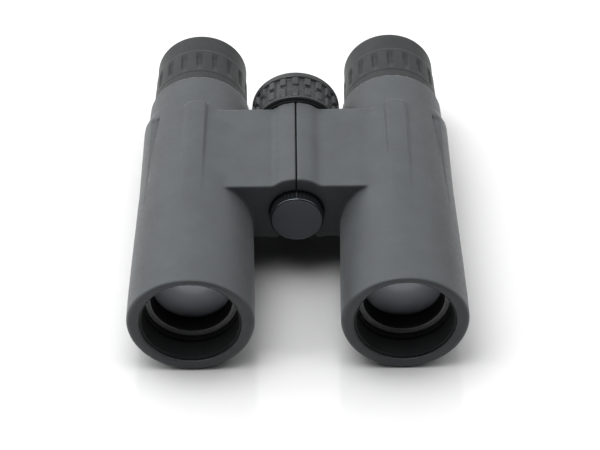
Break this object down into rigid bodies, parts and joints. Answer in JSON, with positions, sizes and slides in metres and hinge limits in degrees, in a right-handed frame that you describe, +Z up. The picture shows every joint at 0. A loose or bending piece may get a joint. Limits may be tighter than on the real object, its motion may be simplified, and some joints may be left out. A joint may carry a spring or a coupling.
{
  "type": "binoculars",
  "caption": "Roof-prism binoculars with rubber armour, a folding centre hinge with a focus wheel, twist-up eyecups and a capped tripod socket.",
  "frame": {"origin": "middle of the overall length and width, on the surface that the barrels rest on", "axes": "+X towards the user's left barrel, +Y towards the eyepieces, +Z up"},
  "size_m": [0.1152, 0.146, 0.0442],
  "materials": {
    "armour_rubber": "matt moulded rubber armour with a fine grain",
    "eyecup_rubber": "matt moulded rubber",
    "wheel_rubber": "black rubber with a slight sheen",
    "seal_rubber": "black O-ring rubber",
    "housing_plastic": "black filled polycarbonate",
    "slider_plastic": "black acetal, slippery",
    "black_metal": "matt black anodised",
    "knob_metal": "satin dark grey with a glossy turned edge",
    "steel": "ground steel",
    "brass": "turned brass",
    "coated_glass": "coated optical glass",
    "prism_glass": "polished optical glass"
  },
  "bodies": {
    "left_half": {"left_housing": "housing_plastic", "left_armour": "armour_rubber", "left_objective_cell": "black_metal", "left_objective_seal": "seal_rubber", "left_objective_retainer": "black_metal", "left_crown_lens": "coated_glass", "left_flint_lens": "coated_glass", "left_prism_holder": "housing_plastic", "left_half_penta_prism": "prism_glass", "left_roof_prism": "prism_glass", "left_prism_clip": "steel", "left_clip_screws": "steel", "left_eyepiece_tube": "black_metal", "left_eyepiece_seal": "seal_rubber", "left_ocular_cell": "black_metal", "left_field_lens": "coated_glass", "left_eye_lens": "coated_glass", "left_spacer_ring": "eyecup_rubber", "front_hinge_pin": "steel", "rear_hinge_bush": "steel", "hinge_sleeve": "housing_plastic", "tension_washer": "steel", "tripod_socket": "brass"},
    "right_half": {"right_housing": "housing_plastic", "right_armour": "armour_rubber", "right_objective_cell": "black_metal", "right_objective_seal": "seal_rubber", "right_objective_retainer": "black_metal", "right_crown_lens": "coated_glass", "right_flint_lens": "coated_glass", "right_prism_holder": "housing_plastic", "right_half_penta_prism": "prism_glass", "right_roof_prism": "prism_glass", "right_prism_clip": "steel", "right_clip_screws": "steel", "right_eyepiece_tube": "black_metal", "right_eyepiece_seal": "seal_rubber"},
    "left_focus_group": {"left_focus_cell": "black_metal", "left_focus_lens": "coated_glass"},
    "right_focus_group": {"right_focus_cell": "black_metal", "right_focus_lens": "coated_glass"},
    "focus_wheel": {"wheel_hub": "housing_plastic", "wheel_grip": "wheel_rubber", "wheel_end_plate": "housing_plastic", "wheel_screw": "steel", "focus_screw": "steel"},
    "spool": {"focus_spool": "brass"},
    "left_cup_lift": {"left_eyecup_slider": "slider_plastic"},
    "left_cup": {"left_eyecup": "eyecup_rubber"},
    "right_cup_lift": {"right_eyecup_slider": "slider_plastic"},
    "right_cup": {"right_eyecup": "eyecup_rubber"},
    "dioptre_ring": {"right_dioptre_ring": "eyecup_rubber"},
    "right_ocular": {"right_ocular_cell": "black_metal", "right_field_lens": "coated_glass", "right_eye_lens": "coated_glass"},
    "cap_lift": {"cap_seal": "seal_rubber"},
    "cap": {"socket_cap": "knob_metal"}
  },
  "joints": [
    {"name": "hinge_fold", "type": "hinge", "parent": "left_half", "child": "right_half", "pos_m": [0, 0, 0.0278], "axis": [0, -1, 0], "range_deg": [0, 60]},
    {"name": "focus_wheel_turn", "type": "hinge", "parent": "left_half", "child": "focus_wheel", "pos_m": [0, 0.032, 0.0278], "axis": [0, 1, 0], "range_deg": [-270, 270]},
    {"name": "spool_slide", "type": "slide", "parent": "left_half", "child": "spool", "axis": [0, 1, 0], "range_m": [-0.0023, 0.0023]},
    {"name": "left_focus_slide", "type": "slide", "parent": "left_half", "child": "left_focus_group", "axis": [0, 1, 0], "range_m": [-0.0023, 0.0023]},
    {"name": "right_focus_slide", "type": "slide", "parent": "right_half", "child": "right_focus_group", "axis": [0, 1, 0], "range_m": [-0.0023, 0.0023]},
    {"name": "left_cup_rise", "type": "slide", "parent": "left_half", "child": "left_cup_lift", "axis": [0, 1, 0], "range_m": [0, 0.0071]},
    {"name": "left_cup_twist", "type": "hinge", "parent": "left_cup_lift", "child": "left_cup", "pos_m": [0.036, 0.061, 0.0216], "axis": [0, 1, 0], "range_deg": [0, 240]},
    {"name": "right_cup_rise", "type": "slide", "parent": "right_half", "child": "right_cup_lift", "axis": [0, 1, 0], "range_m": [0, 0.0071]},
    {"name": "right_cup_twist", "type": "hinge", "parent": "right_cup_lift", "child": "right_cup", "pos_m": [-0.036, 0.061, 0.0216], "axis": [0, 1, 0], "range_deg": [0, 240]},
    {"name": "dioptre_turn", "type": "hinge", "parent": "right_half", "child": "dioptre_ring", "pos_m": [-0.036, 0.0455, 0.0216], "axis": [0, 1, 0], "range_deg": [-40, 40]},
    {"name": "right_ocular_slide", "type": "slide", "parent": "right_half", "child": "right_ocular", "axis": [0, 1, 0], "range_m": [-0.00105, 0.00105]},
    {"name": "cap_travel", "type": "slide", "parent": "left_half", "child": "cap_lift", "axis": [0, -1, 0], "range_m": [0, 0.0045]},
    {"name": "cap_unscrew", "type": "hinge", "parent": "cap_lift", "child": "cap", "pos_m": [0, -0.0245, 0.0278], "axis": [0, -1, 0], "range_deg": [0, 1260]}
  ],
  "couplings": [
    {"joint": "spool_slide", "follows": "focus_wheel_turn", "m_per_rad": 0.00047746},
    {"joint": "left_focus_slide", "follows": "focus_wheel_turn", "m_per_rad": 0.00047746},
    {"joint": "right_focus_slide", "follows": "focus_wheel_turn", "m_per_rad": 0.00047746},
    {"joint": "left_cup_rise", "follows": "left_cup_twist", "m_per_rad": 0.0016711},
    {"joint": "right_cup_rise", "follows": "right_cup_twist", "m_per_rad": 0.0016711},
    {"joint": "right_ocular_slide", "follows": "dioptre_turn", "m_per_rad": 0.0014324},
    {"joint": "cap_travel", "follows": "cap_unscrew", "m_per_rad": 0.00020213}
  ]
}
